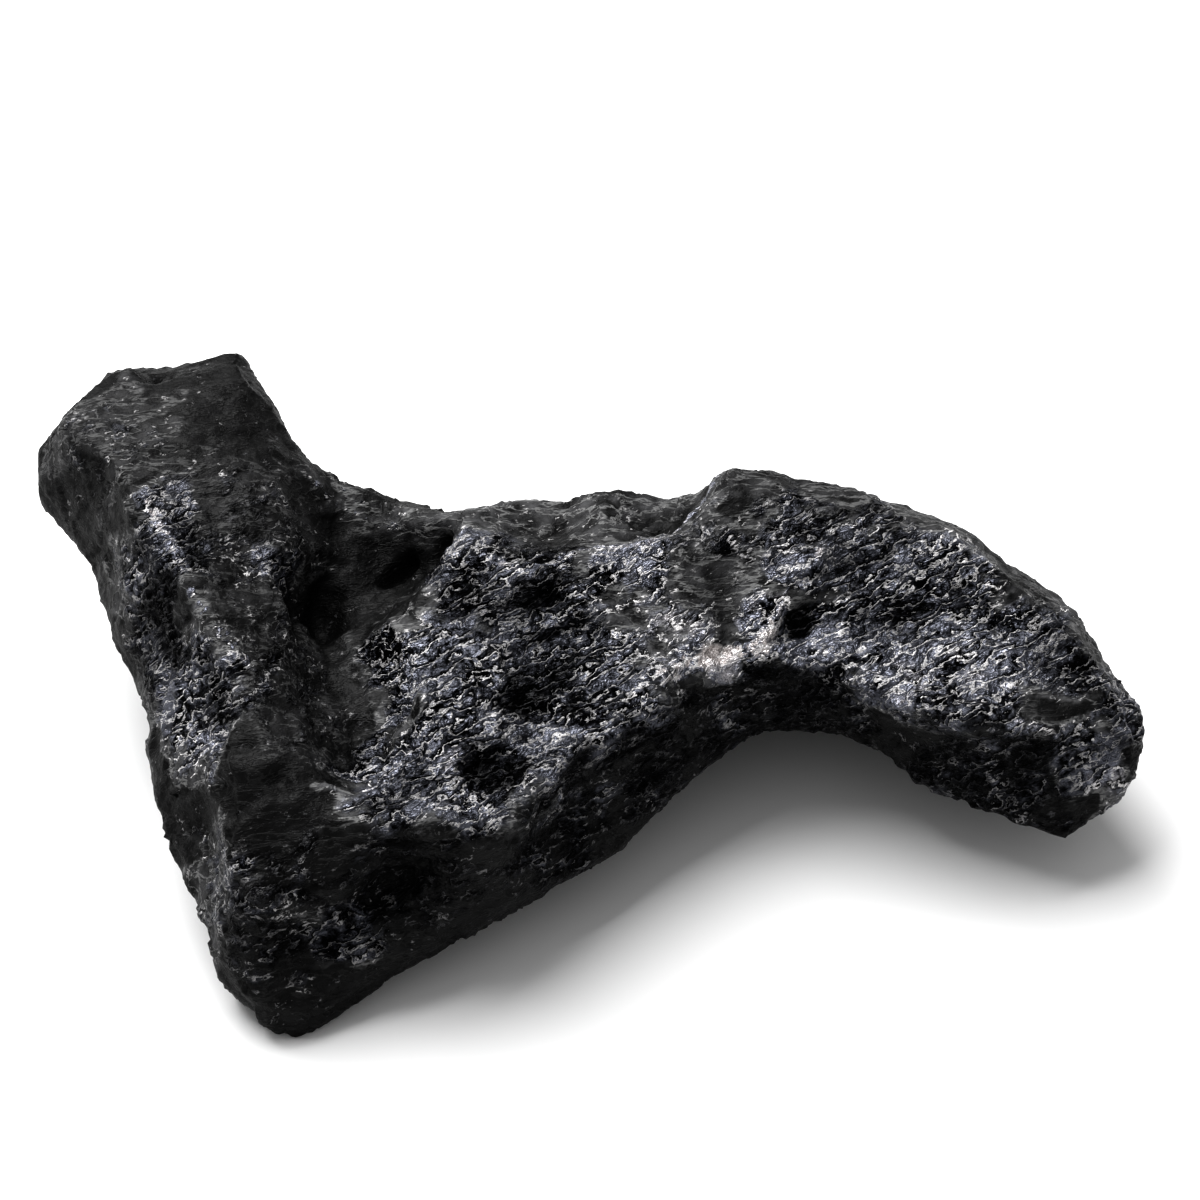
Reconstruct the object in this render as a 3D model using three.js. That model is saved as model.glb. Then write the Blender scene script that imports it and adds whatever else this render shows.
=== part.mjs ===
// An iron meteorite fragment, in millimetres, +Z up, resting on its worn underside.
// A standalone three.js model: it needs only the npm package three.
//
// The stone is one solid. Two bodies that grew into each other make it: a broad wedge that runs
// out along +X to a blunt tip, and a thick arm that climbs from a foot at the front (-Y) to a
// knob at the back left. Each is a loft through a few outlines. Hollows are melted into it,
// facets are broken off it, and the underside is worn flat where it stands.

import * as THREE from "three";
import { ImprovedNoise } from "three/addons/math/ImprovedNoise.js";

// ---- Driving dimensions ----

const CELL = 1.65; // mesh size of the finished surface
const EDGE_ROUND = 1.0; // every outline corner is rounded by this
const WELD = 3.0; // how widely the two bodies flow into each other

// Outlines across the wedge, one at each x: [y, z] corners on its lines, in the order
// low front, front ridge, crest, back rim, back, heel.
const WEDGE = [
  { at: -24, outline: [[9, 4], [11.5, 13], [33, 15], [41, 15], [44, 10], [40, 3]] },
  { at: -14, outline: [[8, 4.6], [10.5, 16], [35, 19.4], [40.6, 16.6], [45.2, 10], [42, -0.2]] },
  { at: -7, outline: [[11, 5.4], [11.2, 15.7], [34, 21], [41.6, 18.6], [46.8, 11], [43, -0.6]] },
  { at: 0, outline: [[16, 6.4], [19, 16.2], [32.5, 20.8], [42, 18.8], [47, 11], [43, -0.6]] },
  { at: 7.2, outline: [[22.4, 7.6], [25.2, 17], [36.5, 21.4], [41, 19.6], [46, 12], [42, -0.4]] },
  { at: 10, outline: [[25, 8.6], [26.6, 17.1], [40, 22.8], [42.2, 22], [46.5, 12], [43, -0.4]] },
  { at: 18.7, outline: [[27, 9.6], [26.4, 16.6], [38.5, 22.2], [41.6, 20.9], [46, 11], [42.6, -0.8]] },
  { at: 27, outline: [[22.7, 7.8], [22.3, 15.9], [36, 20.4], [40.5, 19], [43.8, 11], [39.6, 0.4]] },
  { at: 34, outline: [[19.4, 6.5], [22, 14.6], [31, 18.6], [36.3, 16.6], [40.2, 10], [35, 4]] },
  { at: 37, outline: [[19.4, 6.5], [22, 14], [29.5, 17.2], [34.2, 15.8], [37.6, 10], [32, 4.6]] },
  { at: 40, outline: [[20.8, 7], [22.2, 12.8], [26.4, 15.2], [31, 14.4], [33, 10], [28, 5.5]] },
  { at: 42.6, outline: [[21.8, 8.8], [21.8, 10.6], [22.8, 11.8], [24.8, 11.6], [25.8, 10.4], [24.4, 8.6]] },
];

// Outlines across the arm, one at each y: [x, z] corners on its lines, in the order
// low left, left, left ridge, right ridge, right, low right.
const ARM = [
  { at: 3, outline: [[-24.4, 0], [-25.4, 3.2], [-24.2, 4.8], [-22.4, 4.2], [-21.4, 2.5], [-22.2, 0]] },
  { at: 5.5, outline: [[-26.2, -0.6], [-28.2, 5], [-26, 10], [-19.5, 9.5], [-17.6, 5], [-19, -0.6]] },
  { at: 11.5, outline: [[-27.6, -0.2], [-31.5, 8], [-27, 16.5], [-18, 16], [-15, 8], [-18, -0.2]] },
  { at: 18, outline: [[-30, 4], [-34, 10], [-26.8, 19], [-19.5, 15.5], [-16, 9], [-19, 3]] },
  { at: 27, outline: [[-31.2, 6], [-35.2, 11.8], [-31, 22.4], [-23, 17], [-19, 11], [-21, 5]] },
  { at: 34, outline: [[-34.4, 6.5], [-38.6, 13.4], [-36, 24.2], [-25, 20.4], [-20.5, 14], [-24, 7]] },
  { at: 40, outline: [[-38, 9.5], [-42.4, 14.8], [-38.5, 25], [-27, 22.6], [-21.5, 16], [-25, 10]] },
  { at: 46, outline: [[-41, 12], [-46.4, 18], [-42.5, 25], [-29, 24], [-23.6, 19], [-27, 12]] },
  { at: 51, outline: [[-40.5, 15], [-44.4, 20], [-40.6, 24.2], [-31, 24.6], [-28.7, 21.5], [-31, 15]] },
  { at: 55.4, outline: [[-37.6, 20], [-38.8, 21.6], [-37.4, 22.3], [-31.2, 23.6], [-30.4, 22.4], [-32, 20]] },
];

// Lumps that stand on the two bodies: a ball rolled from one point to another, and how widely
// it flows into what it stands on.
const LUMPS = {
  leftKnoll: { from: [-6.6, 41.4, 17.4], to: [-6.6, 38, 17.6], radius: 2.6, weld: 2.4 },
  rightKnoll: { from: [3.5, 41.2, 16.3], to: [3.6, 38, 16.7], radius: 2.6, weld: 2.4 },
  tongue: { from: [-21, 45, 16.3], to: [-15.4, 42, 15.7], radius: 2.4, weld: 2 },
  horn: { from: [-38.8, 53.6, 21.6], to: [-39, 54.4, 22.2], radius: 1, weld: 1.4 },
  knobCorner: { from: [-30.8, 54.8, 22.6], to: [-31.2, 54, 23.4], radius: 1.1, weld: 1.4 },
};

// Hollows melted into the surface. Each is a ball of this radius, pressed in to this depth at a
// point of the surface that faces this way, and rolled on to a second point where it is long.
const HOLLOWS = {
  cleftHead: {
    at: [-16.5, 37.5, 17.4], to: [-20.5, 32, 16],
    facing: [-0.3, -0.2, 1], radius: 4.4, depth: 2,
  },
  cleftPocket: {
    at: [-22, 33.2, 16.6], to: [-21.8, 31, 16.2],
    facing: [0.6, -0.3, 1], radius: 2.6, depth: 2,
  },
  cleftNotch: { at: [-13.1, 37.6, 19], facing: [-0.6, 0, 1], radius: 2.2, depth: 1.6 },
  cleftValley: {
    at: [-20.2, 27, 16.4], to: [-17.6, 18, 15.8],
    facing: [0, -0.3, 1], radius: 4, depth: 1.2,
  },
  knobTop: { at: [-29.6, 45.5, 25.6], facing: [0.2, 0, 1], radius: 5, depth: 0.9 },
  knobNotch: { at: [-37, 55.8, 22.6], facing: [0, 0.6, 1], radius: 1.6, depth: 0.9 },
  knobBelow: { at: [-30, 44, 11], facing: [0.3, 0.2, -1], radius: 8, depth: 2 },
  armLeft: { at: [-31, 12.5, 12.5], facing: [-0.85, -0.3, 0.3], radius: 4.5, depth: 1.5 },
  armBelow: { at: [-26, 24, 4], facing: [-0.3, 0, -1], radius: 9, depth: 2.4 },
  footPit: { at: [-16.6, 7, 10.6], facing: [0.2, -0.9, 0.4], radius: 3.2, depth: 1.9 },
  footDish: { at: [-22.5, 5.6, 8], facing: [0, -0.9, 0.5], radius: 6, depth: 1 },
  rimLeft: { at: [-4.5, 38.4, 20.4], facing: [0, 0.4, 1], radius: 5.5, depth: 1.3 },
  rimRight: { at: [4, 38.6, 20.6], facing: [0, 0.4, 1], radius: 5, depth: 1.5 },
  rimNotch: { at: [7.4, 41, 21], facing: [-0.4, 0.5, 1], radius: 2.6, depth: 1.6 },
  wingOval: { at: [9.8, 31.4, 20], to: [10.2, 29, 19.2], facing: [0, -0.4, 0.9], radius: 6, depth: 1.2 },
  wingPit: { at: [15.9, 29.2, 19], facing: [0, -0.4, 0.9], radius: 2, depth: 1.3 },
  wingDish: { at: [21, 31, 19.8], to: [31, 27, 18], facing: [0, -0.4, 0.9], radius: 9, depth: 0.9 },
  wingBelow: { at: [29, 30, 4.6], facing: [0.1, -0.3, -1], radius: 9, depth: 1.8 },
  faceDish: { at: [-3, 22, 18.6], to: [-1, 27, 20], facing: [0.1, -0.3, 1], radius: 11, depth: 1.2 },
  faceBite: { at: [-8.6, 13.4, 17.3], facing: [0, -0.4, 1], radius: 3.4, depth: 1.3 },
  frontBreak: { at: [0, 16.6, 12], facing: [0.5, -0.9, 0.2], radius: 9, depth: 1.1 },
  backLeft: { at: [-8, 47.4, 10], facing: [0, 1, 0.1], radius: 10, depth: 2.2 },
  backRight: { at: [13, 47.8, 12], facing: [0, 1, 0.1], radius: 9, depth: 2 },
  backTip: { at: [29, 43.6, 9.5], facing: [0.3, 1, 0], radius: 8, depth: 1.6 },
  archBelow: { at: [9, 34, 3.6], to: [9.6, 42, 0.6], facing: [0, -0.2, -1], radius: 7, depth: 1.8 },
};
const HOLLOW_EDGE = 1.2; // the rim of a hollow is rounded over this width
const FAR = 6; // further than this from the two bodies, no lump or hollow matters

// Waviness of the whole surface: [wavelength, height].
const WAVES = [[11, 0.6], [5.2, 0.35]];

// Shallow scallops melted side by side all over the surface, with low ridges between them.
const SCALLOP_SPACING = 7.5;
const SCALLOP_DEPTH = 1.5;
const SCALLOP_MEAN = 1.05; // the surface is raised by this first, so that the stone keeps its size

// The space that is searched for the surface. Its floor is a whole number of cells below z = 0,
// so that the worn underside comes out exactly flat.
const SPACE = new THREE.Box3(new THREE.Vector3(-52, -4, -2 * CELL), new THREE.Vector3(50, 62, 32));

const IRON = { color: 0x2b2b2e, roughness: 0.5, metalness: 0.75 };

// ---- Distances ----

const clamp = THREE.MathUtils.clamp;

/** The lower of two distances, with their meeting rounded over the width k. */
function blend(a, b, k) {
  const h = Math.max(k - Math.abs(a - b), 0) / k;
  return Math.min(a, b) - (h * h * k) / 4;
}

/** What is left of a when b is cut from it, with the cut's edge rounded over the width k. */
function cut(a, b, k) {
  return -blend(-a, b, k);
}

/** Signed distance from (u, v) to a closed outline, negative inside. */
function outlineDistance(u, v, outline) {
  let nearest = Infinity;
  let inside = false;
  outline.forEach(([au, av], i) => {
    const [bu, bv] = outline[(i + 1) % outline.length];
    const [eu, ev] = [bu - au, bv - av];
    const along = clamp(((u - au) * eu + (v - av) * ev) / (eu * eu + ev * ev), 0, 1);
    nearest = Math.min(nearest, Math.hypot(u - au - eu * along, v - av - ev * along));
    if (av > v !== bv > v && u < au + (eu * (v - av)) / ev) inside = !inside;
  });
  return inside ? -nearest : nearest;
}

/** The outline at s, on smooth curves through the outlines of the stations. */
function outlineAt(stations, s) {
  const last = stations.length - 1;
  let i = 0;
  while (i < last - 1 && s > stations[i + 1].at) i += 1;
  const [before, a, b, after] = [i - 1, i, i + 1, i + 2].map((n) => stations[clamp(n, 0, last)]);
  const width = b.at - a.at;
  const t = clamp((s - a.at) / width, 0, 1);
  const slope = (p, q, corner, axis) =>
    ((q.outline[corner][axis] - p.outline[corner][axis]) / (q.at - p.at)) * width;
  return a.outline.map((_, corner) =>
    [0, 1].map((axis) => {
      const [from, to] = [a.outline[corner][axis], b.outline[corner][axis]];
      const [leave, arrive] = [slope(before, b, corner, axis), slope(a, after, corner, axis)];
      const [t2, t3] = [t * t, t * t * t];
      return (
        from * (2 * t3 - 3 * t2 + 1) +
        leave * (t3 - 2 * t2 + t) +
        to * (3 * t2 - 2 * t3) +
        arrive * (t3 - t2)
      );
    }),
  );
}

/** Distance to a loft: (u, v) lie across it, and s along it. */
function loftDistance(stations, s, u, v) {
  const beyond = Math.max(stations[0].at - s, s - stations.at(-1).at, 0);
  const across = outlineDistance(u, v, outlineAt(stations, s));
  return (beyond > 0 ? Math.hypot(beyond, Math.max(across, 0)) : across) - EDGE_ROUND;
}

const nearestOnPath = new THREE.Vector3();

/** Distance to a ball of this radius rolled along a path. */
function rolledBallDistance(point, { path, radius }) {
  return path.closestPointToPoint(point, true, nearestOnPath).distanceTo(point) - radius;
}

const lumps = Object.values(LUMPS).map(({ from, to, radius, weld }) => ({
  path: new THREE.Line3(new THREE.Vector3(...from), new THREE.Vector3(...to)),
  radius,
  weld,
}));

const hollows = Object.values(HOLLOWS).map(({ at, to = at, facing, radius, depth }) => {
  const lift = new THREE.Vector3(...facing).setLength(radius - depth);
  const [start, end] = [at, to].map((corner) => new THREE.Vector3(...corner).add(lift));
  return { path: new THREE.Line3(start, end), radius };
});

const perlin = new ImprovedNoise();

/** Height of the surface's waviness at a point. */
function waviness({ x, y, z }) {
  return WAVES.reduce(
    (sum, [length, height]) => sum + height * perlin.noise(x / length, y / length, z / length),
    0,
  );
}

/** Depth of the scallops at a point: a bowl round the nearest of a grid of scattered centres. */
function scallopDepth(point) {
  const cell = point.clone().divideScalar(SCALLOP_SPACING).floor();
  const centre = new THREE.Vector3();
  let nearest = Infinity;
  for (const i of [-1, 0, 1])
    for (const j of [-1, 0, 1])
      for (const k of [-1, 0, 1]) {
        centre.set(cell.x + i, cell.y + j, cell.z + k);
        centre.x += 0.5 + perlin.noise(centre.x + 0.3, centre.y + 0.4, centre.z + 0.6);
        centre.y += 0.5 + perlin.noise(centre.x + 0.4, centre.y + 0.6, centre.z + 0.3);
        centre.z += 0.5 + perlin.noise(centre.x + 0.6, centre.y + 0.3, centre.z + 0.4);
        nearest = Math.min(nearest, centre.multiplyScalar(SCALLOP_SPACING).distanceTo(point));
      }
  return SCALLOP_DEPTH * Math.max(1 - (nearest / SCALLOP_SPACING) ** 2, 0);
}

/** Signed distance to the stone's surface, negative inside. The stone is cut flat at z = 0. */
function stone(x, y, z) {
  const point = new THREE.Vector3(x, y, z);
  let d = blend(loftDistance(WEDGE, x, y, z), loftDistance(ARM, y, x, z), WELD);
  if (d > FAR) return d;
  for (const lump of lumps) d = blend(d, rolledBallDistance(point, lump), lump.weld);
  for (const hollow of hollows) d = cut(d, rolledBallDistance(point, hollow), HOLLOW_EDGE);
  return Math.max(d - waviness(point) + scallopDepth(point) - SCALLOP_MEAN, -z);
}

// ---- The surface ----

/** Meshes field = 0 in a box with a surface net: one vertex in each cell that the surface crosses. */
function surfaceNet(field, box, cell) {
  const size = box.getSize(new THREE.Vector3());
  const count = size.toArray().map((side) => Math.ceil(side / cell) + 1);
  const index = (i, j, k) => (k * count[1] + j) * count[0] + i;
  const point = (i, j, k) => [i, j, k].map((n, axis) => box.min.getComponent(axis) + n * cell);
  const value = new Float64Array(count[0] * count[1] * count[2]);
  const corners = [0, 1, 2, 3, 4, 5, 6, 7].map((n) => [n & 1, (n >> 1) & 1, n >> 2]);
  const edges = corners.flatMap((_, a) =>
    [1, 2, 4].filter((bit) => !(a & bit)).map((bit) => [a, a | bit]),
  );
  const vertexOf = new Int32Array(value.length).fill(-1);
  const positions = [];
  const faces = [];

  for (let k = 0; k < count[2]; k++)
    for (let j = 0; j < count[1]; j++)
      for (let i = 0; i < count[0]; i++) value[index(i, j, k)] = field(...point(i, j, k));

  // A grid face whose inside corners lie on a diagonal would join two sheets of the surface along
  // an edge, so the shallower of the two is left out of the solid.
  const [alongX, alongY, alongZ] = [index(1, 0, 0), index(0, 1, 0), index(0, 0, 1)];
  for (let changed = true; changed; ) {
    changed = false;
    for (let n = 0; n < value.length - alongY - alongZ; n++)
      for (const [p, q] of [[alongX, alongY], [alongY, alongZ], [alongZ, alongX]]) {
        const diagonals = [[n, n + p + q], [n + p, n + q]];
        const [first, second] = diagonals.map((pair) => pair.map((corner) => value[corner] < 0));
        if (first[0] !== first[1] || second[0] !== second[1] || first[0] === second[0]) continue;
        const [a, b] = diagonals[first[0] ? 0 : 1];
        value[value[a] > value[b] ? a : b] *= -1;
        changed = true;
      }
  }

  for (let k = 0; k < count[2] - 1; k++)
    for (let j = 0; j < count[1] - 1; j++)
      for (let i = 0; i < count[0] - 1; i++) {
        const v = corners.map(([a, b, c]) => value[index(i + a, j + b, k + c)]);
        const sum = [0, 0, 0];
        let crossings = 0;
        for (const [a, b] of edges) {
          if (v[a] < 0 === v[b] < 0) continue;
          const t = v[a] / (v[a] - v[b]);
          for (const axis of [0, 1, 2]) {
            sum[axis] += THREE.MathUtils.lerp(corners[a][axis], corners[b][axis], t);
          }
          crossings += 1;
        }
        if (!crossings) continue;
        vertexOf[index(i, j, k)] = positions.length / 3;
        const at = point(i, j, k);
        positions.push(...sum.map((s, axis) => at[axis] + (s / crossings) * cell));
      }

  // Each grid edge that the surface crosses makes a quad of the four cells round it.
  const quad = (a, b, c, d, outward) =>
    outward ? faces.push(a, b, c, a, c, d) : faces.push(a, c, b, a, d, c);
  for (let k = 1; k < count[2] - 1; k++)
    for (let j = 1; j < count[1] - 1; j++)
      for (let i = 1; i < count[0] - 1; i++) {
        const inside = value[index(i, j, k)] < 0;
        const cellAt = (di, dj, dk) => vertexOf[index(i - di, j - dj, k - dk)];
        if (inside !== value[index(i + 1, j, k)] < 0)
          quad(cellAt(0, 1, 1), cellAt(0, 0, 1), cellAt(0, 0, 0), cellAt(0, 1, 0), inside);
        if (inside !== value[index(i, j + 1, k)] < 0)
          quad(cellAt(1, 0, 1), cellAt(1, 0, 0), cellAt(0, 0, 0), cellAt(0, 0, 1), inside);
        if (inside !== value[index(i, j, k + 1)] < 0)
          quad(cellAt(1, 1, 0), cellAt(0, 1, 0), cellAt(0, 0, 0), cellAt(1, 0, 0), inside);
      }
  return { positions, faces };
}

/** The stone, standing on z = 0 with its origin under the middle of its outline. */
function stoneMesh() {
  const { positions, faces } = surfaceNet(stone, SPACE, CELL);
  const geometry = new THREE.BufferGeometry();
  geometry.setAttribute("position", new THREE.Float32BufferAttribute(positions, 3));
  geometry.setIndex(faces);
  geometry.computeBoundingBox();
  const middle = geometry.boundingBox.getCenter(new THREE.Vector3());
  geometry.translate(-middle.x, -middle.y, 0);
  geometry.computeVertexNormals();
  const mesh = new THREE.Mesh(geometry, new THREE.MeshStandardMaterial(IRON));
  mesh.name = "meteorite";
  return mesh;
}

const fragment = new THREE.Group();
fragment.add(stoneMesh());

export default fragment;
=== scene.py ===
"""The looks of an iron meteorite fragment, built over its CAD solid. Lengths in the tables are in mm."""

from math import cos, radians, sin

import bpy
import numpy as np
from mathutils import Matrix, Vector, noise


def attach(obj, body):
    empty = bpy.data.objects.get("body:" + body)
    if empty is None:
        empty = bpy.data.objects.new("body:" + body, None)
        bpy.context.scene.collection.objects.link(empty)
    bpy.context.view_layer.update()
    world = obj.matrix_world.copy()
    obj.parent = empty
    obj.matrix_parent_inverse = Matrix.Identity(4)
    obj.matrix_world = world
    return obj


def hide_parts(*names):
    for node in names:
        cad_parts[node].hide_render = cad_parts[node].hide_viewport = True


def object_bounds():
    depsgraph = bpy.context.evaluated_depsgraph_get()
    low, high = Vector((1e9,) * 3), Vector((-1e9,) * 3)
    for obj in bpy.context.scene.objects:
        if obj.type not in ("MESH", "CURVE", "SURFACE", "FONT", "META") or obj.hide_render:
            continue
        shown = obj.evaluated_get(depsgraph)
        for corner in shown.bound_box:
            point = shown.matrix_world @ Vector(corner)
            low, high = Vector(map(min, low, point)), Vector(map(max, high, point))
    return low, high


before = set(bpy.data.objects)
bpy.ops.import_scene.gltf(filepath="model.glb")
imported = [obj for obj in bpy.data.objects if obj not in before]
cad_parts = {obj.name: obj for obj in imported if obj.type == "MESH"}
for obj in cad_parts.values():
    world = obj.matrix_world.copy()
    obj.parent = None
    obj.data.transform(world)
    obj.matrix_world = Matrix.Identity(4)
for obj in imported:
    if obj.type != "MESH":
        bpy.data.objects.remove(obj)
cad_low, cad_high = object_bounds()

MM = 0.001
NOISE_SEED = 1  # without one, the noise's vectors change from run to run
noise.seed_set(NOISE_SEED)

# ---- The stone's surface ----

MESH_SPACING = 0.37  # mm, between the fine mesh's vertices
MELT_PASSES = 14  # smoothing that takes the CAD solid's facets out
MELT_STRENGTH = 0.5  # of each pass
SHARPEN = 0.9  # how far the melted form's edges are drawn out again
SHARPEN_LIMIT = 0.5  # mm
SHARPEN_PASSES = 40  # how wide a neighbourhood an edge is measured against
HOLLOW_PASSES = 60  # the same for the hollows, in which the material paints shade

# Zones where the melted crust has broken off: centre, radius, how broken, and how bright the metal
# is there. Broken is below 0 where a part of a larger break is smooth. Metal is 0 or less where it
# is black, which at the bay and the pits marked below is painted shade, and past 1 where it is worn
# to silver, partly a painted highlight. Where the crust is left, metal is how pale it is.
BROKEN_ZONES = [
    # the face
    ((-8, 5, 21), 4, 1.0, 0.6),
    ((-4, 1, 20.5), 5, 1.0, 0.3),
    ((-3, 5, 21), 3, 1.0, 0.1),
    ((-11, -4, 19.5), 4.5, 1.0, 0.6),
    ((-2, -4, 19), 6, 1.0, 0.45),
    ((4, 3, 20.5), 4, 0.9, 0.7),
    ((6.5, -0.5, 19), 4.5, 0.9, 0.8),
    # a dark bay: its black is painted shade
    ((-4.5, -7.5, 18), 2.2, 1.0, -0.2),
    ((-12.5, -14.5, 17.5), 5.5, 1.0, 0.9),
    # a dark patch round the pit on the face: painted shade
    ((-7, -14, 17), 2.6, 1.0, -0.2),
    ((-13, -17, 17), 3, 1.0, 0.6),
    ((-8, -18, 17), 2.5, 1.0, 0.6),
    ((-15.5, -2, 17), 2.5, 1.0, 0.4),
    ((-14, -7, 17), 2.5, 1.0, 0.6),
    ((-14.5, -12, 17), 2.5, 1.0, 0.8),
    ((-8, -9, 19), 5, 1.0, 0.5),
    ((-3.5, -12, 17), 5, 1.0, 0.8),
    ((3.5, -8.5, 17), 4.5, 1.0, 0.7),
    ((1.5, -6, 18), 4, 1.0, 0.45),
    ((-10, 4.5, 20), 3, 1.0, 0.6),
    ((-9.5, 1, 20.5), 2.5, 1.0, 0.5),
    # the front, under the face and the wing, whose low metal is partly painted shade on this side
    ((-2, -15, 11), 6, 0.6, 0.05),
    ((-12, -21, 12), 6, 0.45, 0.0),
    ((6, -9, 11), 4, 0.6, 0.0),
    ((16, -3.5, 12), 8, 0.6, 0.0),
    ((33, -9, 10), 7, 0.7, 0.1),
    # the smooth scoop between the face and the wing, and its edges
    ((10, 5, 21), 4, 0.5, 0.5),
    ((9.5, 2.5, 20.5), 2.8, -0.7, 0.3),
    ((3.5, 0.5, 20), 2.2, -0.6, 1.0),
    ((6.5, -1.5, 19), 2.4, -0.5, 1.2),
    ((11, -3, 17), 1.8, 1.0, 1.8),
    # around the round pit
    ((17, 4, 21), 2.2, 1.0, 0.9),
    ((15, 0, 18), 2.8, 1.0, 0.9),
    # the round pit's dark inside: painted shade
    ((17.5, 0.5, 18), 1.2, 1.0, -0.1),
    # the wing
    ((40, -8, 11.5), 3.5, 1.0, 1.3),
    ((25, -4, 17), 3.5, 1.0, 1.15),
    ((33, -3.5, 17), 2.5, 1.0, 0.9),
    ((25, 0, 18.5), 3, 1.0, 0.3),
    ((43, -5, 13), 3, 0.9, 0.4),
    ((30, -5, 17), 5, 1.0, 0.85),
    ((20, -1, 18), 4.5, 1.0, 0.8),
    ((28, 2, 19), 6.5, 1.0, 0.7),
    ((21, 8, 21.5), 7, 0.7, 0.35),
    ((37.5, -1, 17), 5, 1.0, 0.6),
    ((39, -3, 16), 2.5, 1.0, 0.5),
    # the wing's smooth back edge
    ((14, 13, 22), 3, -1.0, 0.25),
    ((21, 12.5, 21), 3, -1.0, 0.25),
    ((29, 10.5, 20), 3.5, -1.0, 0.25),
    ((35.5, 6, 18.5), 3.5, -1.0, 0.2),
    ((41, 0.5, 16), 2.5, -0.8, 0.2),
    # the rim behind the face, pale partly as painted light on this side, which faces the lamp
    ((-6, 13, 20), 5, 0.1, 0.45),
    ((1.5, 12, 20.5), 5, 0.1, 0.45),
    ((8, 12.5, 21), 3.5, 0.1, 0.4),
    # the arm
    ((-33, 3, 21.5), 4.5, 0.9, 0.25),
    ((-32.5, 8, 24), 2.2, 0.7, 0.4),
    ((-27, 5, 22.5), 7, 0.35, 0.1),
    ((-24, 4, 20), 3, 0.7, 0.5),
    ((-29.5, -8, 18), 5, 1.0, 0.6),
    ((-33.5, -2, 17), 4.5, 0.9, 0.2),
    ((-22, -7, 18), 6, 0.3, 0.1),
    ((-22.5, -1, 18), 3, 0.3, 0.2),
    ((-36, 5, 19), 3, 0.4, 0.4),
    # the foot
    ((-18, -23, 8), 2.8, 0.8, 0.7),
    ((-24, -21, 10), 6, 0.5, 0.35),
    # the knob
    ((-39, 15, 24), 5, 0.25, 0.2),
    # the back, which the photo doesn't show
    ((6, 17, 9), 5, 0.5, 0.2),
    ((27, 12, 12), 6, 0.6, 0.3),
    ((-34, 24, 17), 4, 0.5, 0.2),
    ((-10, 19, 12), 3.5, 0.4, 0.1),
]

# Ridges: height, half width, how bright they are worn (partly a painted highlight), and the
# points that each runs through.
RIDGES = [
    # the ledge over the front, and on along the face's lower edge
    (0.6, 0.9, 0.2, [(-17.5, -19.5, 17), (-13.5, -18.5, 16.5), (-9, -19.5, 17), (-4.5, -18, 15)]),
    (0.5, 0.9, 0.5, [(-4.5, -18, 15), (-3.5, -16, 16.5), (-1, -12.5, 16.5), (2.5, -10, 16.5),
                     (6.5, -5.5, 18)]),
    # the bright edge, the edge beside the round pit, and the wing's lower edge
    (0.6, 0.9, 2.0, [(6.5, -5.5, 18), (8.5, -4, 18), (12.5, -2.5, 17.5), (14.5, -2, 18), (15.5, 0, 18.5)]),
    (0.6, 0.7, 1.1, [(15.5, 0, 18.5), (16.5, 1.5, 20), (18, 3.5, 21), (19.5, 5.5, 21.5)]),
    (0.6, 0.6, 1.0, [(14.5, -2, 18), (17.5, -3, 17), (21.5, -4.5, 16.5), (25.5, -7.5, 17), (33, -8.5, 17),
                     (37.5, -8.5, 14.5)]),
    # the thin line down the arm, and the arm's edge below it
    (0.4, 0.55, 1.15, [(-34.5, 7, 25), (-32, 3, 24), (-30, -2, 23), (-27.5, -5, 22), (-25.5, -7, 21)]),
    (0.3, 0.8, 0.0, [(-24.5, -9.5, 20), (-24, -15, 19)]),
    # the face's crest
    (0.5, 0.7, 1.1, [(-10, 6.5, 21), (-6.5, 4, 21.5), (-4, 3, 21), (-1.5, 4.5, 21), (1.5, 5.5, 21.5),
                     (5.5, 6, 21.5), (9, 10, 20.5), (11.5, 14, 21.5)]),
    # two bands across the valley
    (0.6, 0.8, 0.6, [(-22.5, 14.5, 21.5), (-20.5, 13.5, 19), (-17.5, 12.5, 17.5), (-11.5, 11, 18.5),
                     (-9, 9, 21)]),
    (0.3, 0.6, 0.6, [(-22, 16.5, 20), (-18, 14, 18.5), (-13, 12, 18.5), (-8, 11, 20)]),
    # the tongue in the cleft, and the cleft's edge towards the face
    (0.9, 0.6, 0.2, [(-12.5, 9.5, 17.5), (-13, 7, 17), (-14.5, 3.5, 17)]),
    (0.4, 0.6, 0.2, [(-19, 2, 15), (-17, -4, 15.5), (-15, -11, 15.5)]),
    # the foot's edge
    (0.6, 0.9, 0.3, [(-26, -21, 14), (-23.5, -23, 11.5), (-18.5, -23, 9)]),
    # the knob's tooth
    (1.5, 0.7, 0.0, [(-38, 21.5, 25.5), (-37.5, 22, 25.5)]),
]

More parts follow.
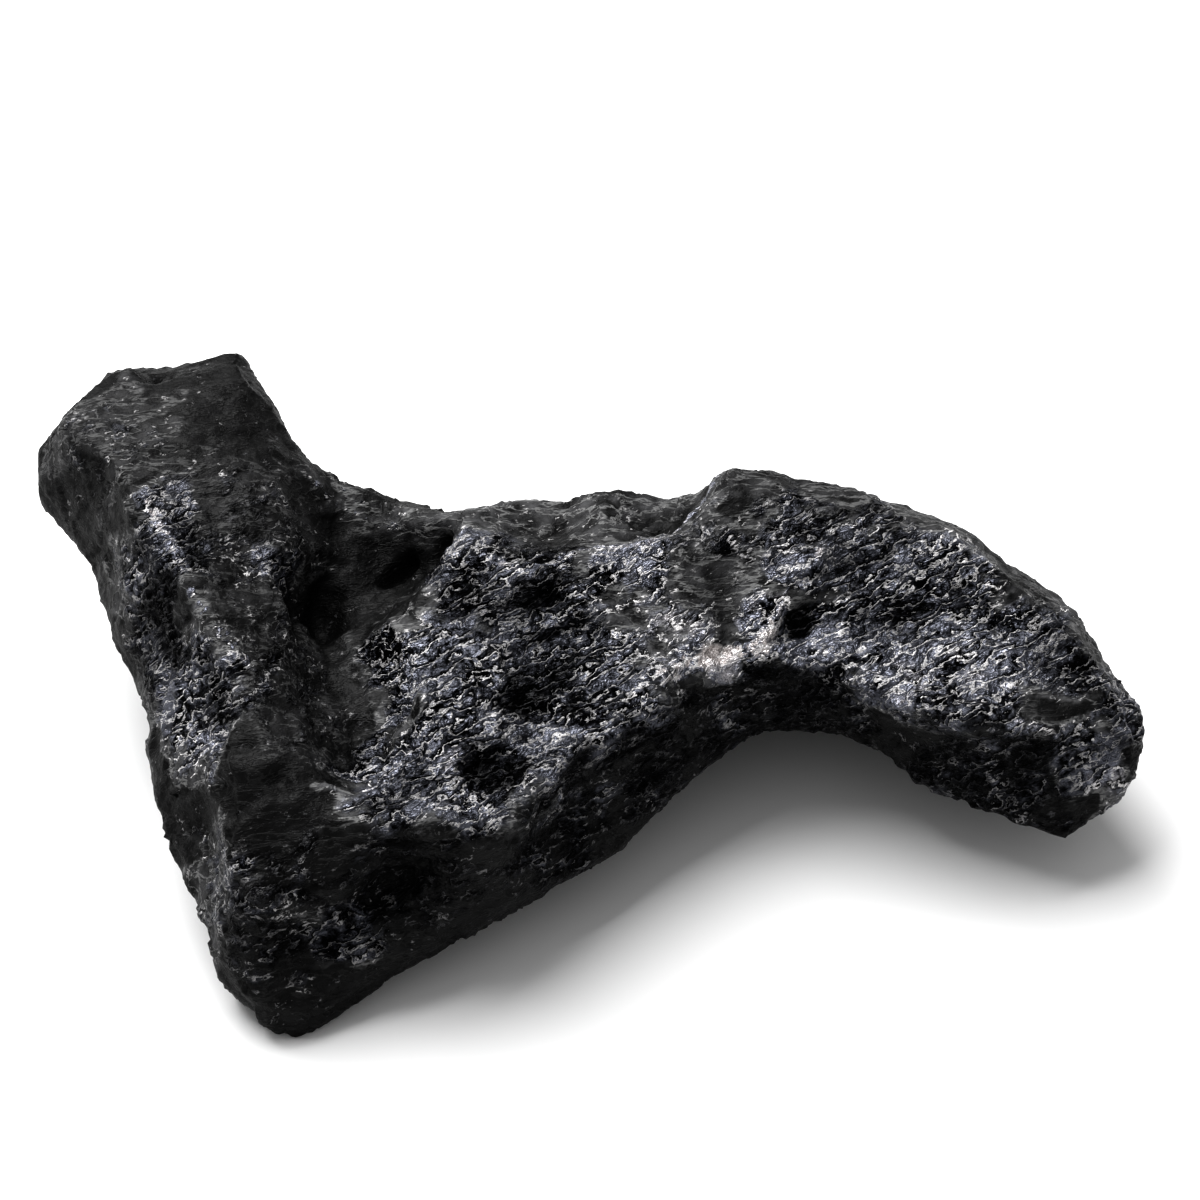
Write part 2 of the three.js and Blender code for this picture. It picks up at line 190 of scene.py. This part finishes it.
# Cracks, slots and pockets: depth, half width, points.
CRACKS = [
    # across the face
    (0.8, 0.5, [(-11, 0, 20), (-6.5, 0, 21), (-1.5, 1, 20.5)]),
    (0.6, 0.5, [(-3, 4.5, 21), (1.5, 1.5, 20.5), (5, -1, 19.5), (7, -3.5, 18.5)]),
    (0.7, 0.5, [(-5.5, -8.5, 18.5), (-1.5, -9, 17), (1.5, -9.5, 17.5)]),
    # under the ledge
    (0.8, 0.4, [(-17.5, -20.7, 15.5), (-13.5, -20, 15), (-9, -20.7, 15.5)]),
    # two slots and the pocket in the cleft
    (1.8, 0.6, [(-14, 9.5, 16), (-16.5, 8, 14.5)]),
    (1.5, 0.6, [(-11, 10.5, 18), (-11.5, 8.5, 17)]),
    (2.0, 1.3, [(-21.5, 7, 15), (-21, 3.5, 14.5)]),
    # in the foot's front
    (1.5, 1.4, [(-17, -21, 8.5), (-14.5, -20, 9.5), (-12, -20.5, 12)]),
    # at the wing's tip
    (1.2, 0.9, [(44.5, -2, 15), (44.5, -5.5, 13), (43.5, -7, 11)]),
    # beside the knob's tooth
    (1.5, 0.9, [(-36, 22, 26), (-35, 23, 25)]),
]

# Pits: centre, radius, depth.
PITS = [
    ((17.5, 0.5, 18), 1.4, 0.9),  # the round pit, behind the bright edge
    ((-5, -8, 17.5), 0.9, 0.6),  # on the face
    ((-7.5, -14, 17), 1.2, 0.6),
    ((-26.5, -17.5, 17.5), 2.0, 0.9),  # on the foot
    ((-33.5, 13, 25.5), 0.6, 0.5),  # on the knob
    ((-26, 12, 23), 0.8, 0.7),
    ((13, 19, 13), 4.0, 0.8),  # shallow hollows on the back, which the photo doesn't show
    ((33, 12, 11), 3.5, 0.7),
    ((-3, 20, 10), 4.5, 0.8),
]

# A squeeze is the share that lengths along a direction are measured as. The smaller it is, the
# more what is made there is drawn out along that direction.
GRAIN_LIE = Vector((0.85, 0.5, 0.15)).normalized()  # the broken grain's long direction
GRAIN_SQUEEZE = 0.55
FLOW_LIE = Vector((1, 0.1, 0)).normalized()  # the direction in which the crust flowed

# How the broken zones end, and how painted shade turns their metal black on the stone's front.
ZONE_END = 1.25  # where a broken zone ends, in radii
ZONE_FADE = 1.8  # how steeply it fades to its end
ZONE_RAGGED = 0.55  # how ragged its outline is
ZONE_RAG_SIZE = 1.8  # mm
FRONT_FROM = 0.55  # how far a face leans to the front before painted shade turns its breaks black
FRONT_FADE = 0.15  # over how much more lean they do
FRONT_PAINTED_SHADE = 0.4  # how much painted shade takes off the metal's brightness there

# Flat facets that meet at creases.
SURFACE_AREA = 11000  # mm2, about, which sets how many facets there are
FACET_TURN = 2.0  # how much more a facet keeps to one direction than to one place
FACET_ROUNDS = 5  # rounds in which the facets settle
FACET_LIMIT = 0.7  # mm, the most that cutting a facet moves the surface
FACET_LEAN = 0.4  # the least lean towards its plane that a facet's surface is cut with
FACETS = [(8, 0.4), (5, 0.6), (2.5, 0.6)]  # size, and the share of the cut that is made

# The layers of the break, which follow a slow wave.
LEDGE_SIZE = 4.5  # mm, from one swing of the wave to the next
LEDGE_SWING = 1.2  # mm
LEDGE_STEP = 0.5  # mm, between the layers
LEDGE_TREAD = 0.65  # share of a step that is flat
LEDGE_KEPT = 0.4  # share of the wave that is left in

# Chips, wrinkles, lumps, and how ragged the lines and pits are.
BROKEN_CHIPS = [(3.6, 0.22, 3.1), (1.8, 0.34, 8.4)]  # size, steepness, seed
CRUST_CHIPS = [(5, 0.1, 5.2), (2.3, 0.12, 1.9)]
CHIP_BEND = 0.35  # how far the chips' edges bend, in chips
CRUST_LOST = 0.5  # share of the crust's facets and chips that a break takes away
FLOW_SIZE = 1.6  # mm, of the crust's melted wrinkles
FLOW_HEIGHT = 0.18  # mm
FLOW_LOST = 0.6  # share of the wrinkles that a break takes away
LUMPS = [(2.6, 0.1), (6.5, 0.25)]  # size and height of the fine and of the slow lumps
LINE_RAGGED = 0.3  # how ragged the ridges and cracks are
LINE_RAG_SIZE = 1.1  # mm
PIT_RAGGED = 0.8
PIT_RAG_SIZE = 1.5  # mm


def sampled(points, size, function):
    """function of each point, with points measured in units of size."""
    return np.array([function(Vector(p)) for p in points / size])


def drawn_out(points):
    """The points squeezed along the grain's lie, so that what is made from them is drawn out there."""
    lie = np.array(GRAIN_LIE)
    return points - np.outer(points @ lie * (1 - GRAIN_SQUEEZE), lie)


def chip_heights(points, size, steepness, seed):
    """Flat chips side by side, each tilted its own way: heights in mm."""
    offset = Vector((seed, seed * 1.7, seed * 2.3))

    def chip(p):
        p = p + offset + CHIP_BEND * noise.noise_vector(p * 1.3)
        centre = noise.voronoi(p)[1][0]
        return (p - centre).dot(noise.noise_vector(centre * 5.3))

    return steepness * size * sampled(drawn_out(points), size, chip)


def facet_cut(points, facing, size):
    """Heights in mm that cut the surface into flat facets of about this size, meeting at creases."""
    traits = np.hstack([points / size, facing * FACET_TURN]).astype(np.float32)
    centres = traits[:: len(points) // int(SURFACE_AREA / size**2)]
    for _ in range(FACET_ROUNDS):
        score = (centres**2).sum(axis=1) - 2 * traits @ centres.T
        facet = score.argmin(axis=1)
        count = np.maximum(np.bincount(facet, minlength=len(centres)), 1)
        centres = np.stack([np.bincount(facet, trait, len(centres)) for trait in traits.T], axis=1)
        centres = (centres / count[:, None]).astype(np.float32)
    middle = centres[facet, :3] * size
    plane = centres[facet, 3:]
    plane /= np.linalg.norm(plane, axis=1, keepdims=True)
    out = np.einsum("ij,ij->i", points - middle, plane)
    lean = np.einsum("ij,ij->i", facing, plane)
    return np.clip(-out / np.maximum(lean, FACET_LEAN), -FACET_LIMIT, FACET_LIMIT)


def distance_to_line(points, line):
    """Distance from each point to a line through several points."""
    nearest = np.full(len(points), np.inf)
    line = np.array(line, float)
    for a, b in zip(line[:-1], line[1:]):
        along = np.clip((points - a) @ (b - a) / ((b - a) @ (b - a)), 0, 1)
        nearest = np.minimum(nearest, np.linalg.norm(points - a - np.outer(along, b - a), axis=1))
    return nearest


def breaks(points, facing):
    """How broken the surface is at each point, and its metal's brightness, with painted shade on the front.
    """
    ragged = 1 + ZONE_RAGGED * sampled(drawn_out(points), ZONE_RAG_SIZE, noise.noise)
    broken = np.zeros(len(points))
    smooth = np.zeros(len(points))
    share = np.full(len(points), 1e-6)
    total = np.zeros(len(points))
    for centre, radius, amount, metal_and_painted_light in BROKEN_ZONES:
        away = np.linalg.norm(points - centre, axis=1) * ragged / radius
        near = np.clip(ZONE_FADE * (ZONE_END - away), 0, 1)
        broken = np.maximum(broken, amount * near)
        smooth = np.maximum(smooth, -amount * near)
        share += (near / radius) ** 2
        total += (near / radius) ** 2 * metal_and_painted_light
    # painted shade: the metal is darkened on the faces that lean to the front
    front_shade = np.clip((-facing[:, 1] - FRONT_FROM) / FRONT_FADE, 0, 1)
    return np.clip(broken - smooth, 0, 1), total / share - FRONT_PAINTED_SHADE * front_shade


def crests(points):
    """How brightly the ridges are worn at each point, partly as a painted highlight."""
    result = np.zeros(len(points))
    for _, width, wear_and_highlight, line in RIDGES:
        result = np.maximum(result, wear_and_highlight * np.exp(-(distance_to_line(points, line) / width) ** 2))
    return result


def ledges(points):
    """Heights of broken layers: a slow wave cut into steps whose edges wander, in mm."""
    wave = LEDGE_SWING * sampled(drawn_out(points), LEDGE_SIZE, lambda p: noise.fractal(p, 0.8, 2.0, 4))
    level = wave / LEDGE_STEP
    tread = np.floor(level)
    riser = np.clip((level - tread - LEDGE_TREAD) / (1 - LEDGE_TREAD), 0, 1)
    return LEDGE_STEP * (tread + riser) - (1 - LEDGE_KEPT) * wave


def relief(points, facing, broken):
    """Height of the fine relief over the melted form, in mm."""
    height = ledges(points)
    for size, steepness, seed in BROKEN_CHIPS:
        height += chip_heights(points, size, steepness, seed)
    height *= broken
    crust = 1 - CRUST_LOST * broken
    for size, share in FACETS:
        height += crust * share * facet_cut(points, facing, size)
    for size, steepness, seed in CRUST_CHIPS:
        height += crust * chip_heights(points, size, steepness, seed)
    flow = sampled(drawn_out(points), FLOW_SIZE, lambda p: 1 - abs(noise.fractal(p, 0.8, 2.1, 3)))
    height += FLOW_HEIGHT * (1 - FLOW_LOST * broken) * (flow - 0.7)
    (fine_size, fine_height), (slow_size, slow_height) = LUMPS
    height += fine_height * sampled(points, fine_size, lambda p: noise.fractal(p, 0.7, 2.1, 4))
    height += slow_height * sampled(points, slow_size, noise.noise)
    ragged = 1 + LINE_RAGGED * sampled(points, LINE_RAG_SIZE, noise.noise)
    for top, width, _, line in RIDGES:
        height += top * np.exp(-distance_to_line(points, line) * ragged / width)
    for depth, width, line in CRACKS:
        height -= depth * np.exp(-((distance_to_line(points, line) * ragged / width) ** 2))
    uneven = 1 + PIT_RAGGED * sampled(drawn_out(points), PIT_RAG_SIZE, noise.noise)
    for centre, radius, depth in PITS:
        away = np.linalg.norm(drawn_out(points - centre), axis=1) * uneven / radius
        height -= depth * np.exp(-(away**4))
    return height


def evaluated_mesh(piece):
    """The piece's mesh with its modifiers applied, and then taken off the piece."""
    depsgraph = bpy.context.evaluated_depsgraph_get()
    mesh = bpy.data.meshes.new_from_object(piece.evaluated_get(depsgraph))
    piece.modifiers.clear()
    return mesh


def positions(mesh):
    """The mesh's vertices, in mm."""
    flat = np.empty(len(mesh.vertices) * 3, np.float32)
    mesh.vertices.foreach_get("co", flat)
    return flat.reshape(-1, 3).astype(float) / MM


def normals(mesh):
    """The direction in which each vertex faces."""
    flat = np.empty(len(mesh.vertices) * 3, np.float32)
    mesh.vertex_normals.foreach_get("vector", flat)
    return flat.reshape(-1, 3).astype(float)


def curvature(mesh, points, facing, passes):
    """How far each vertex stands out of its neighbourhood along its normal, in mm."""
    edges = np.empty(len(mesh.edges) * 2, np.int32)
    mesh.edges.foreach_get("vertices", edges)
    a, b = edges.reshape(-1, 2).T
    count = np.bincount(edges, minlength=len(points))[:, None]
    mean = points.copy()
    for _ in range(passes):
        total = np.zeros_like(mean)
        np.add.at(total, a, mean[b])
        np.add.at(total, b, mean[a])
        mean = total / count
    return np.einsum("ij,ij->i", points - mean, facing)


def store(mesh, name, values):
    """Keeps a number for each vertex, for the material to read."""
    attribute = mesh.attributes.new(name, "FLOAT", "POINT")
    attribute.data.foreach_set("value", values.astype(np.float32))


def build_stone():
    """The stone: the CAD surface meshed finely, with its relief, kept inside the CAD box."""
    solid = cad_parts["meteorite"]
    stone = bpy.data.objects.new("stone", solid.data.copy())
    bpy.context.scene.collection.objects.link(stone)
    stone.data.materials.clear()
    remesh = stone.modifiers.new("fine mesh", "REMESH")
    remesh.mode = "VOXEL"
    remesh.voxel_size = MESH_SPACING * MM
    melt = stone.modifiers.new("melt", "SMOOTH")
    melt.factor = MELT_STRENGTH
    melt.iterations = MELT_PASSES
    stone.data = evaluated_mesh(stone)
    stone.data.name = "stone"

    points = positions(stone.data)
    facing = normals(stone.data)
    broken, metal_and_painted_light = breaks(points, facing)
    height = relief(points, facing, broken)
    edges = SHARPEN * curvature(stone.data, points, facing, SHARPEN_PASSES)
    height += np.clip(edges, -SHARPEN_LIMIT, SHARPEN_LIMIT)
    points += facing * height[:, None]
    low, high = (np.array(corner) / MM for corner in (cad_low, cad_high))
    points = np.clip(points, low, high)
    stone.data.vertices.foreach_set("co", (points * MM).astype(np.float32).ravel())
    stone.data.update()
    stone.data.polygons.foreach_set("use_smooth", np.ones(len(stone.data.polygons), bool))

    facing = normals(stone.data)
    store(stone.data, "broken", broken)
    # metal, holding painted shade on the front and in the bay and pits, and painted highlight past 1
    store(stone.data, "metal_and_painted_light", metal_and_painted_light)
    store(stone.data, "crest", crests(points))
    store(stone.data, "hollow", -curvature(stone.data, points, facing, HOLLOW_PASSES))
    return stone


# ---- Materials ----

CRUST = (0.01, 0.01, 0.0102)
PALE_CRUST = (0.15, 0.15, 0.155)
CRUST_DIPS = (0.005, 0.005, 0.005)
# painted shade for the crust in its hollows
CRUST_HOLLOW_SHADE = (0.004, 0.004, 0.004)
STREAKS = (0.2, 0.2, 0.2)
DULL_IRON = (0.02, 0.02, 0.022)
CLEAN_IRON = (0.25, 0.258, 0.3)
# worn silver, partly a painted highlight on the bright edges
SILVER_AND_HIGHLIGHT_IRON = (0.72, 0.68, 0.67)
SHADED_IRON = (0.003, 0.003, 0.004)
# painted shadow in the gaps under the scales
GAP_SHADOWS = (0.002, 0.002, 0.002)
# painted glints on the scales' lips, dull to bright
DULL_LIP_GLINTS = (0.08, 0.08, 0.084)
BRIGHT_LIP_GLINTS = (1.0, 0.98, 0.98)
WHITE_PAPER = (0.85, 0.85, 0.85, 1)

SCALES_CLIMB = Vector((-0.45, 0.7, 0.55)).normalized()  # from one overlapping scale to the next
SCALES_APART = 1.15  # mm
SCALES_WANDER = 4.5  # how far the scales' edges wander, in scales
WANDER_SIZE = 1.2  # mm
STREAK_SIZE = 1.2  # mm
STREAK_SQUEEZE = 0.25
STREAK_WIDTH = 0.04  # share of the noise's range
SWELL_SIZE = 1.5  # mm, of the crust's slow swells
SWELL_SQUEEZE = 0.85
PLATE_SIZE = 4.5  # mm, of the spots where the scales are rubbed flat
BUMP_DEPTH = 0.5 * MM
CRUST_SPECULAR = 0.17


def nodes_of(material):
    """The material's node tree and its shader."""
    material.use_nodes = True
    tree = material.node_tree
    return tree, tree.nodes["Principled BSDF"]


def add(tree, kind, inputs=(), **settings):
    """A new shader node with its settings and inputs; an input is a value or another node's output."""
    node = tree.nodes.new(kind)
    for name, value in settings.items():
        setattr(node, name, value)
    for name, value in dict(inputs).items():
        if isinstance(value, bpy.types.NodeSocket):
            tree.links.new(value, node.inputs[name])
        else:
            node.inputs[name].default_value = value
    return node


def remapped(tree, value, low, high, to_low=0.0, to_high=1.0):
    """The value, moved from one range to another and kept inside it."""
    node = add(tree, "ShaderNodeMapRange",
               {"Value": value, "From Min": low, "From Max": high, "To Min": to_low, "To Max": to_high})
    return node.outputs["Result"]


def mixed_colour(tree, amount, a, b):
    """A blend from colour a to colour b; each is three numbers or a node's output."""
    node = add(tree, "ShaderNodeMix", {"Factor": amount}, data_type="RGBA")
    for socket, value in (("A_Color", a), ("B_Color", b)):
        target = next(s for s in node.inputs if s.identifier == socket)
        if isinstance(value, bpy.types.NodeSocket):
            tree.links.new(value, target)
        else:
            target.default_value = (*value, 1)
    return next(s for s in node.outputs if s.identifier == "Result_Color")


def iron_material():
    """Black melted crust, and bare iron in overlapping scales where the crust has broken off."""
    material = bpy.data.materials.new("meteoritic iron")
    tree, shader = nodes_of(material)
    place = add(tree, "ShaderNodeTexCoord").outputs["Object"]
    broken, paleness, crest, hollow = (
        add(tree, "ShaderNodeAttribute", attribute_name=name).outputs["Fac"]
        for name in ("broken", "metal_and_painted_light", "crest", "hollow"))

    def maths(operation, *values):
        """The result of a sum on one or two values."""
        return add(tree, "ShaderNodeMath", dict(enumerate(values)), operation=operation).outputs["Value"]

    def drawn_along(lie, squeeze):
        """The place, squeezed along a direction so that what is made from it is drawn out there."""
        along = add(tree, "ShaderNodeVectorMath", {0: place, 1: lie},
                    operation="DOT_PRODUCT").outputs["Value"]
        pull = add(tree, "ShaderNodeVectorMath", {0: lie, "Scale": maths("MULTIPLY", along, 1 - squeeze)},
                   operation="SCALE").outputs["Vector"]
        return add(tree, "ShaderNodeVectorMath", {0: place, 1: pull}, operation="SUBTRACT").outputs["Vector"]

    def grain(size, detail, rough=0.6, distortion=0.0, where=place):
        """Noise whose largest blobs are of this size in mm, from about 0.3 to 0.7."""
        return add(tree, "ShaderNodeTexNoise", {
            "Vector": where, "Scale": 1 / (size * MM), "Detail": detail, "Roughness": rough,
            "Distortion": distortion}).outputs["Fac"]

    def line_at(value, height, width):
        """Thin lines where a value passes a height."""
        off = maths("ABSOLUTE", maths("SUBTRACT", value, height))
        return remapped(tree, off, 0.3 * width, width, 1, 0)

    # The stone parts in thin scales that overlap. Each has a lip with a painted glint and a painted
    # shadow in the gap under the next; on the break they are bare metal, and on the crust they hardly
    # show. Here and there, and on worn edges, they are rubbed down to a plain light plate.
    crest = maths("MULTIPLY", crest, remapped(tree, grain(0.8, 3), 0.4, 0.6, 0.6, 1.4))
    patchy = maths("ADD", remapped(tree, grain(2.6, 3), 0.35, 0.65, -0.3, 0.3),
                   remapped(tree, grain(7, 2), 0.35, 0.65, -0.2, 0.2))
    pale = maths("MAXIMUM", paleness, crest)
    metal_and_painted_light = maths("ADD", pale, patchy)
    opened = maths("MAXIMUM", broken, remapped(tree, crest, 0.5, 1))
    spread = maths("ADD", opened, remapped(tree, grain(1.6, 3), 0.35, 0.65, -0.25, 0.25))
    bare = remapped(tree, spread, 0.3, 0.7)
    rise = add(tree, "ShaderNodeVectorMath", {0: place, 1: SCALES_CLIMB},
               operation="DOT_PRODUCT").outputs["Value"]
    wander = grain(WANDER_SIZE, 4, 0.6, 0.3, drawn_along(GRAIN_LIE, GRAIN_SQUEEZE))
    scales = maths("FRACT", maths("ADD", maths("DIVIDE", rise, SCALES_APART * MM),
                                  maths("MULTIPLY", wander, SCALES_WANDER)))
    plates = maths("ADD", grain(PLATE_SIZE, 2), maths("MULTIPLY", paleness, 0.12))
    unworn = maths("MULTIPLY", remapped(tree, crest, 0.7, 1.3, 1, 0),
                   remapped(tree, plates, 0.58, 0.66, 1, 0.25))
    lip = remapped(tree, scales, 0.75, 0.87)
    # painted shadow in the gap under each scale, less on rubbed plates
    gap_shadow = remapped(tree, scales, 0.1, remapped(tree, metal_and_painted_light, 0, 1.5, 0.7, 0.2), 1, 0)
    gap_shadow = maths("MULTIPLY", gap_shadow, unworn)
    kept = remapped(tree, spread, 0, 1, 0.6, 0.25)
    # painted glints along the lips, at spots picked by noise
    glint_spots = remapped(tree, maths("SUBTRACT", grain(0.7, 3), kept), 0, 0.12)
    lip_glint = maths("MULTIPLY", lip, glint_spots)
    clumps = maths("MULTIPLY", maths("ADD", grain(3.2, 3), grain(0.6, 3)), 0.5)
    shade = maths("MULTIPLY", remapped(tree, clumps, 0.42, 0.56, 1, 0), unworn)

    # The crust: a smooth black skin, paler in places and on the ridges (partly painted light there), with
    # streaks where it flowed, and painted shade in its hollows.
    mottle = grain(0.35, 2.5, 0.65)
    swell = grain(SWELL_SIZE, 4, 0.6, 0.1, drawn_along(GRAIN_LIE, SWELL_SQUEEZE))
    streak = line_at(grain(STREAK_SIZE, 4, 0.6, 0.3, drawn_along(FLOW_LIE, STREAK_SQUEEZE)), 0.5,
                     STREAK_WIDTH)
    crust = mixed_colour(tree, pale, CRUST, PALE_CRUST)
    crust = mixed_colour(tree, remapped(tree, swell, 0.35, 0.65), CRUST_DIPS, crust)
    crust = mixed_colour(tree, maths("MULTIPLY", streak, remapped(tree, pale, 0, 0.4, 0.06, 0.8)),
                         crust, STREAKS)
    # painted shade: the crust is darker in its hollows
    crust = mixed_colour(tree, remapped(tree, hollow, -0.05, 0.5), crust, CRUST_HOLLOW_SHADE)

    iron = mixed_colour(tree, metal_and_painted_light, DULL_IRON, CLEAN_IRON)
    # past 1 the metal turns silver: worn, and partly a painted highlight
    iron = mixed_colour(tree, remapped(tree, metal_and_painted_light, 1, 1.8), iron, SILVER_AND_HIGHLIGHT_IRON)
    iron = mixed_colour(tree, shade, iron, SHADED_IRON)
    # the painted gap shadows
    iron = mixed_colour(tree, gap_shadow, iron, GAP_SHADOWS)
    # the painted lip glints
    lip_glints = mixed_colour(tree, metal_and_painted_light, DULL_LIP_GLINTS, BRIGHT_LIP_GLINTS)
    colour = mixed_colour(tree, lip_glint, mixed_colour(tree, bare, crust, iron), lip_glints)
    tree.links.new(colour, shader.inputs["Base Color"])
    tree.links.new(maths("MULTIPLY", bare, maths("SUBTRACT", 1, maths("MULTIPLY", lip_glint, 0.8))),
                   shader.inputs["Metallic"])
    shader.inputs["Specular IOR Level"].default_value = CRUST_SPECULAR
    tree.links.new(remapped(tree, bare, 0, 1, 0.5, 0.38), shader.inputs["Roughness"])

    step = maths("MULTIPLY", scales, remapped(tree, scales, 0.88, 1, 1, 0))
    bumps = maths("MULTIPLY", step, remapped(tree, bare, 0, 1, 0.1, 0.8))
    for texture, share in ((mottle, 0.05), (swell, 0.3), (clumps, 0.3), (streak, 0.1)):
        bumps = maths("ADD", bumps, maths("MULTIPLY", texture, share))
    bump = add(tree, "ShaderNodeBump", {"Height": bumps, "Strength": 1.0, "Distance": BUMP_DEPTH})
    tree.links.new(bump.outputs["Normal"], shader.inputs["Normal"])
    return material


# ---- Stage ----

FLOOR_SIZE = 4.0  # m
VIEW_TARGET = Vector((1.6, 9.1, 12.0)) * MM
VIEW_ELEVATION = radians(45)
VIEW_DISTANCE = 0.25  # m
VIEW_LENS = 90  # mm
VIEW_SENSOR = 36  # mm
LIGHT_ELEVATION = radians(61)
LIGHT_TURN = radians(40)  # towards the left, from straight behind the stone
LIGHT_DISTANCE = 0.5  # m
LIGHT_SIZE = 0.4  # m
LIGHT_POWER = 3.3  # W
SURROUNDINGS = 0.38  # strength of the even white light from all round


def aimed(thing, place, target):
    """Puts a camera or light at a place, looking at the target."""
    item = bpy.data.objects.new(thing.name, thing)
    item.location = place
    item.rotation_euler = (target - place).to_track_quat("-Z", "Y").to_euler()
    bpy.context.scene.collection.objects.link(item)
    return item


def build_floor():
    """A wide sheet of white paper."""
    mesh = bpy.data.meshes.new("floor")
    half = FLOOR_SIZE / 2
    corners = [(-half, -half, 0), (half, -half, 0), (half, half, 0), (-half, half, 0)]
    mesh.from_pydata(corners, [], [(0, 1, 2, 3)])
    floor = bpy.data.objects.new("floor", mesh)
    bpy.context.scene.collection.objects.link(floor)
    material = bpy.data.materials.new("white paper")
    _, shader = nodes_of(material)
    shader.inputs["Base Color"].default_value = WHITE_PAPER
    shader.inputs["Roughness"].default_value = 0.9
    shader.inputs["Specular IOR Level"].default_value = 0.1
    mesh.materials.append(material)


def build_light():
    """One softbox, above and behind the stone to the left, and even light from all round."""
    softbox = bpy.data.lights.new("softbox", "AREA")
    softbox.shape = "RECTANGLE"
    softbox.size = LIGHT_SIZE
    softbox.size_y = LIGHT_SIZE
    softbox.energy = LIGHT_POWER
    direction = Vector((-sin(LIGHT_TURN) * cos(LIGHT_ELEVATION), cos(LIGHT_TURN) * cos(LIGHT_ELEVATION),
                        sin(LIGHT_ELEVATION)))
    aimed(softbox, VIEW_TARGET + direction * LIGHT_DISTANCE, VIEW_TARGET)
    world = bpy.data.worlds.new("studio")
    world.use_nodes = True
    world.node_tree.nodes["Background"].inputs["Color"].default_value = (1, 1, 1, 1)
    world.node_tree.nodes["Background"].inputs["Strength"].default_value = SURROUNDINGS
    bpy.context.scene.world = world


def build_camera():
    """The camera at the photo's angle."""
    camera = bpy.data.cameras.new("camera")
    camera.lens = VIEW_LENS
    camera.sensor_width = VIEW_SENSOR
    camera.clip_start = 0.01
    back = Vector((0, -cos(VIEW_ELEVATION), sin(VIEW_ELEVATION)))
    bpy.context.scene.camera = aimed(camera, VIEW_TARGET + back * VIEW_DISTANCE, VIEW_TARGET)


stone = build_stone()
stone.data.materials.append(iron_material())
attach(stone, "root")
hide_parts("meteorite")
build_floor()
build_light()
build_camera()
bpy.context.scene.view_settings.view_transform = "Standard"
bpy.context.scene.view_settings.look = "High Contrast"

print("stone triangles", sum(len(p.vertices) - 2 for p in stone.data.polygons))
